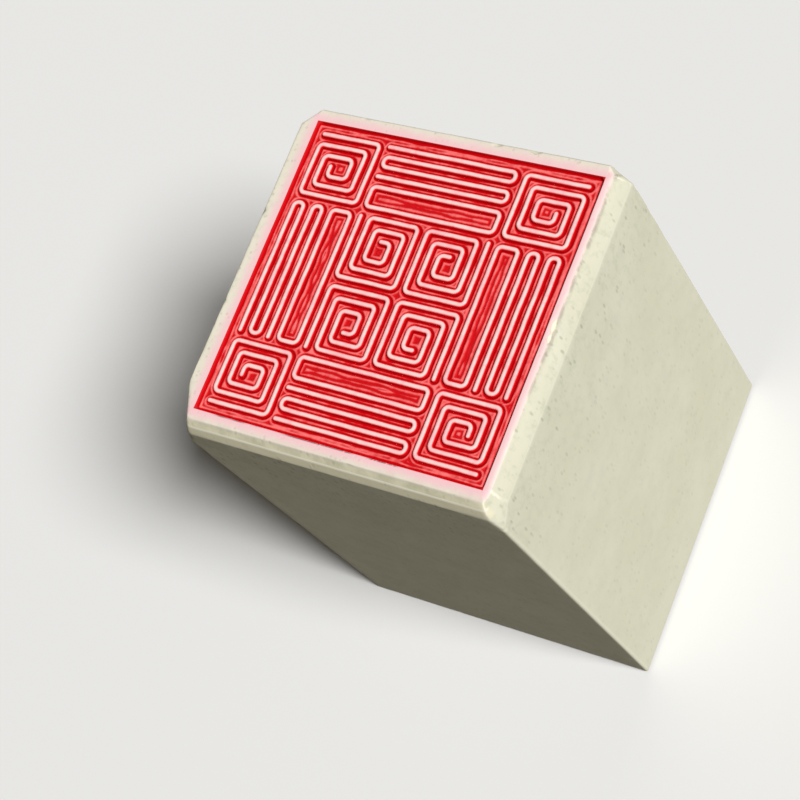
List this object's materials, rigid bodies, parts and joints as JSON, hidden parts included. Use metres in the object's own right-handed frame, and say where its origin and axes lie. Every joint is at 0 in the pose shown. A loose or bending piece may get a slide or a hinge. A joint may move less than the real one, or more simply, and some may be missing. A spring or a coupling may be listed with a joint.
{
  "type": "seal stamp",
  "caption": "Square column seal of pale stone, its printing face carved with raised fret lines inside a frame line, red paste lying in the sunk ground.",
  "frame": {"origin": "middle of the plain end, on which the seal stands", "axes": "+Z along the column to the carved face, +X and +Y to the right and up the carved face as seen from outside"},
  "size_m": [0.05, 0.05, 0.076],
  "materials": {
    "stone": "satin",
    "paste": "satin"
  },
  "bodies": {
    "root": {"stone_block": "stone", "paste_in_ground": "paste", "paste_in_loops": "paste"}
  },
  "joints": []
}
